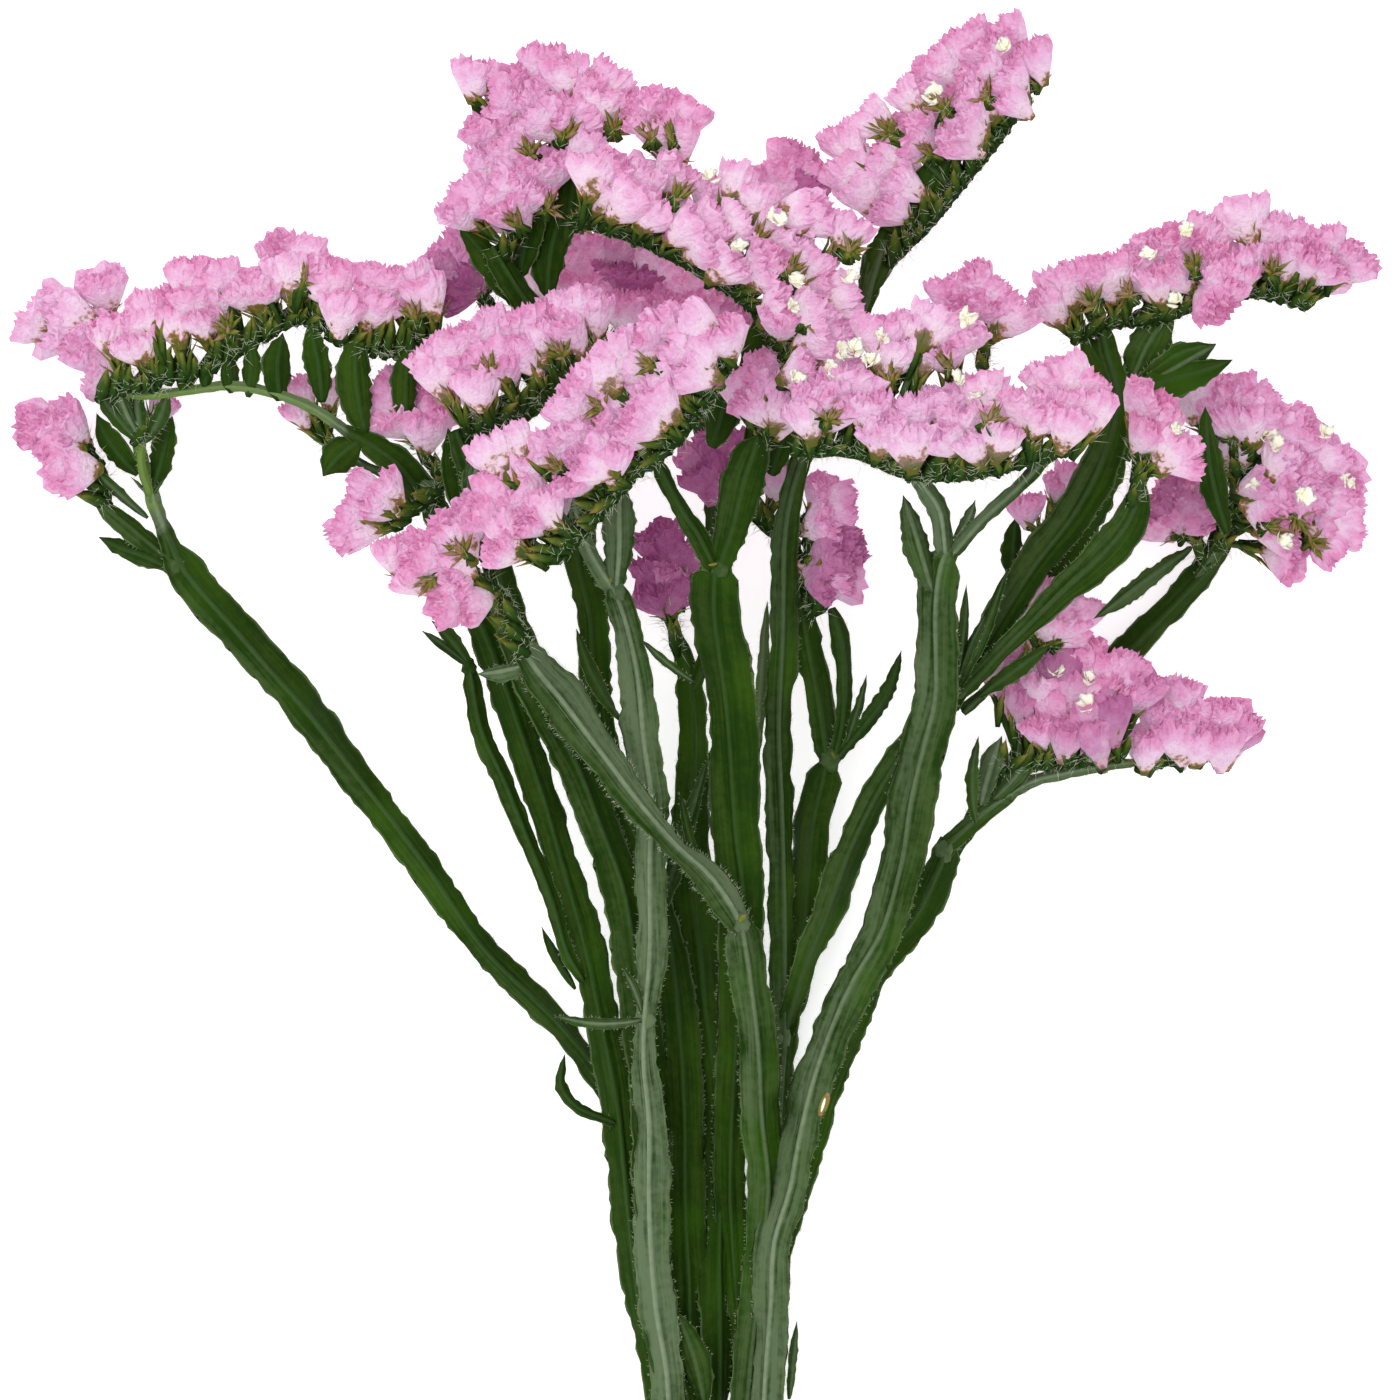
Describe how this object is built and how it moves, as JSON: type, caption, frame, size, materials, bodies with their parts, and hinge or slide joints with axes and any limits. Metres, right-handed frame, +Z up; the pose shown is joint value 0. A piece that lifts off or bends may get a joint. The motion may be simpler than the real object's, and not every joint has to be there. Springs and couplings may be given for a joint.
{
  "type": "dried statice bunch",
  "caption": "Gathered bunch of pink statice lying on its side, with winged stems, small leaves and one-sided heads of papery flowers, held by a flat band.",
  "frame": {"origin": "under the middle of the bunch's box, on the surface that it lies on", "axes": "+Y from the cut ends towards the flower heads, +Z up out of the surface, +X across the bunch"},
  "size_m": [0.3406, 0.4108, 0.095],
  "materials": {
    "stem": "matt, finely hairy green stem with a paler raised midrib",
    "leaf": "satin green leaf with a hairy edge",
    "calyx": "papery pleated pink with a paler base and a deeper rim",
    "corolla": "soft cream white petals",
    "bract": "olive green bracts with orange brown tips and white hairs",
    "band": "matt plain flat band"
  },
  "bodies": {
    "root": {"band": "band", "branch_arch": "stem", "branch_back": "stem", "branch_broad_left": "stem", "branch_centre": "stem", "branch_crossing": "stem", "branch_far_left": "stem", "branch_front_left": "stem", "branch_long_right": "stem", "branch_mid_right": "stem", "branch_mid_right_side": "stem", "branch_mid_right_up": "stem", "branch_right_cluster": "stem", "branch_right_low": "stem", "branch_spike_left": "stem", "branch_spike_right": "stem", "branch_thin_left": "stem", "branch_upper_right": "stem", "head_arch": "calyx", "head_back_mid": "calyx", "head_centre_long": "calyx", "head_centre_low": "calyx", "head_floor_row": "calyx", "head_front": "calyx", "head_front_low": "calyx", "head_left_low": "calyx", "head_left_tip": "calyx", "head_mid_left": "calyx", "head_pair": "calyx", "head_right": "calyx", "head_right_back": "calyx", "head_right_centre": "calyx", "head_right_inner": "calyx", "head_right_low": "calyx", "head_right_low_tip": "calyx", "head_shade": "calyx", "head_side": "calyx", "head_small_left": "calyx", "head_top_right": "calyx", "head_upper_left": "calyx", "head_upper_right": "calyx", "head_upper_small": "calyx", "leaf_centre": "leaf", "leaf_curl": "leaf", "leaf_far_left": "leaf", "leaf_fork": "leaf", "leaf_front_left": "leaf", "leaf_upper_right": "leaf", "stem_back": "stem", "stem_back_left": "stem", "stem_broad": "stem", "stem_centre": "stem", "stem_dark_left": "stem", "stem_far_left": "stem", "stem_front_left": "stem", "stem_front_right": "stem", "stem_mid_right": "stem", "stem_right_low": "stem", "stem_wavy_left": "stem"}
  },
  "joints": []
}
